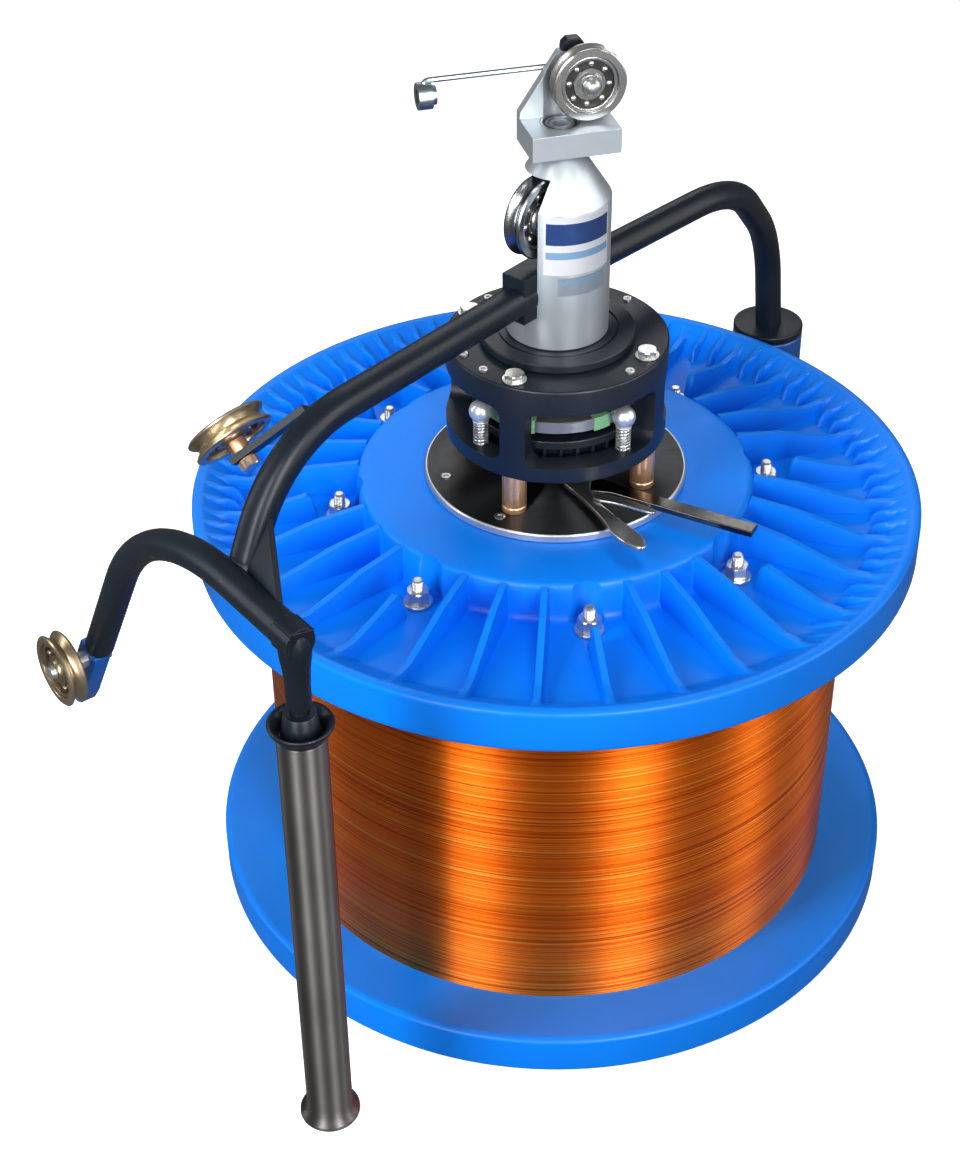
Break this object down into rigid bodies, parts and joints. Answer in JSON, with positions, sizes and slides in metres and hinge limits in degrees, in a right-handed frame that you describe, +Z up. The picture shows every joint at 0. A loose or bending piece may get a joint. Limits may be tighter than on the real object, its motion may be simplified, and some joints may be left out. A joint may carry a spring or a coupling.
{
  "type": "wire feeder",
  "caption": "Floor-standing wire feeder: a flyer with guide roller, counterweight, grooved guide pulleys and a swivelling head turns on a spring-set brake clamped to a spool of copper wire.",
  "frame": {"origin": "on the floor, under the middle of the whole object's footprint; the spool's axis stands at x 0.0595, y 0.030", "axes": "+Z up along the spool's and the flyer's axis; +Y to the back, where the counterweight hangs; the guide roller and the cross tube are towards -X and -Y"},
  "size_m": [0.679, 0.6432, 0.7105],
  "materials": {
    "spool_blue": "moulded, glossy, azure blue",
    "enamelled_copper": null,
    "satin_black": "satin black coat on steel",
    "brushed_steel": "machined steel",
    "dark_steel": "dark, oiled steel",
    "zinc": "bright zinc plated hardware",
    "bronze": "turned bronze",
    "yellow_zinc": "yellow zinc plated steel",
    "chrome": "polished",
    "aluminium": "milled and lightly brushed",
    "lug_blue": "blue coat on steel"
  },
  "bodies": {
    "spool": {"spool_flange_upper": "spool_blue", "spool_flange_lower": "spool_blue", "spool_barrel": "spool_blue", "copper_winding": "enamelled_copper", "tie_bolt_1": "zinc", "tie_bolt_2": "zinc", "tie_bolt_3": "zinc", "tie_bolt_4": "zinc", "tie_bolt_5": "zinc", "tie_bolt_6": "zinc", "tie_bolt_7": "zinc", "tie_bolt_8": "zinc", "hub_plate": "dark_steel", "mandrel": "brushed_steel", "pillar_1": "bronze", "pillar_2": "bronze", "pillar_3": "bronze", "pillar_4": "bronze", "cage_bolt_1": "zinc", "cage_bolt_2": "zinc", "cage_bolt_3": "zinc", "cage_bolt_4": "zinc", "brake_cage": "satin_black", "pressure_ring": "satin_black", "pliers_body": "dark_steel"},
    "flyer": {"brake_rotor": "brushed_steel", "rotor_cap": "satin_black", "post": "aluminium", "post_bolt": "brushed_steel", "arm_left": "satin_black", "arm_right": "satin_black", "guide_lug": "lug_blue", "guide_bolt": "zinc", "mid_bracket": "satin_black", "mid_bolt": "bronze", "roller_collar": "satin_black", "counterweight_cap": "satin_black", "counterweight": "lug_blue"},
    "head": {"head_bracket": "aluminium", "head_bearing": "brushed_steel", "top_bolt": "brushed_steel", "guide_rod": "brushed_steel", "wire_keeper": "satin_black"},
    "top_wheel": {"top_pulley": "chrome"},
    "post_wheel": {"post_pulley": "chrome"},
    "mid_wheel": {"mid_pulley": "yellow_zinc"},
    "guide_wheel": {"guide_pulley": "yellow_zinc"},
    "roller": {"guide_roller": "brushed_steel"},
    "moving_handle": {"pliers_handle": "chrome"},
    "release_lever": {"pliers_release_lever": "chrome"},
    "adjuster_1": {"adjuster_screw_1": "chrome", "adjuster_spring_1": "brushed_steel"},
    "adjuster_2": {"adjuster_screw_2": "chrome", "adjuster_spring_2": "brushed_steel"},
    "adjuster_3": {"adjuster_screw_3": "chrome", "adjuster_spring_3": "brushed_steel"},
    "adjuster_4": {"adjuster_screw_4": "chrome", "adjuster_spring_4": "brushed_steel"}
  },
  "joints": [
    {"name": "flyer_spin", "type": "hinge", "parent": "spool", "child": "flyer", "pos_m": [0.05953, 0.03, 0.45], "axis": [0, 0, 1], "continuous": true},
    {"name": "head_swivel", "type": "hinge", "parent": "flyer", "child": "head", "pos_m": [0.05953, 0.03, 0.652], "axis": [0, 0, 1], "continuous": true},
    {"name": "top_pulley_spin", "type": "hinge", "parent": "head", "child": "top_wheel", "pos_m": [0.07828, 0.03364, 0.6835], "axis": [0.2924, -0.9563, 0], "continuous": true},
    {"name": "post_pulley_spin", "type": "hinge", "parent": "flyer", "child": "post_wheel", "pos_m": [0.04407, 0.01035, 0.5934], "axis": [0.7859, -0.6184, 0], "continuous": true},
    {"name": "mid_pulley_spin", "type": "hinge", "parent": "flyer", "child": "mid_wheel", "pos_m": [-0.15664, -0.15135, 0.51447], "axis": [-0.5708, 0.5375, 0.6208], "continuous": true},
    {"name": "guide_pulley_spin", "type": "hinge", "parent": "flyer", "child": "guide_wheel", "pos_m": [-0.31586, -0.08222, 0.2541], "axis": [-0.7771, -0.6293, 0], "continuous": true},
    {"name": "roller_spin", "type": "hinge", "parent": "flyer", "child": "roller", "pos_m": [-0.10147, -0.2993, 0.2], "axis": [0, 0, 1], "continuous": true},
    {"name": "handle_open", "type": "hinge", "parent": "spool", "child": "moving_handle", "pos_m": [0.07507, -0.01102, 0.387], "axis": [0, 0, 1], "range_deg": [-25, 0]},
    {"name": "lever_release", "type": "hinge", "parent": "moving_handle", "child": "release_lever", "pos_m": [0.09186, -0.0404, 0.391], "axis": [0, 0, 1], "range_deg": [-10, 0]},
    {"name": "adjuster_1_press", "type": "slide", "parent": "spool", "child": "adjuster_1", "axis": [0, 0, 1], "range_m": [-0.004, 0], "deforming": ["adjuster_spring_1"]},
    {"name": "adjuster_2_press", "type": "slide", "parent": "spool", "child": "adjuster_2", "axis": [0, 0, 1], "range_m": [-0.004, 0], "deforming": ["adjuster_spring_2"]},
    {"name": "adjuster_3_press", "type": "slide", "parent": "spool", "child": "adjuster_3", "axis": [0, 0, 1], "range_m": [-0.004, 0], "deforming": ["adjuster_spring_3"]},
    {"name": "adjuster_4_press", "type": "slide", "parent": "spool", "child": "adjuster_4", "axis": [0, 0, 1], "range_m": [-0.004, 0], "deforming": ["adjuster_spring_4"]}
  ]
}
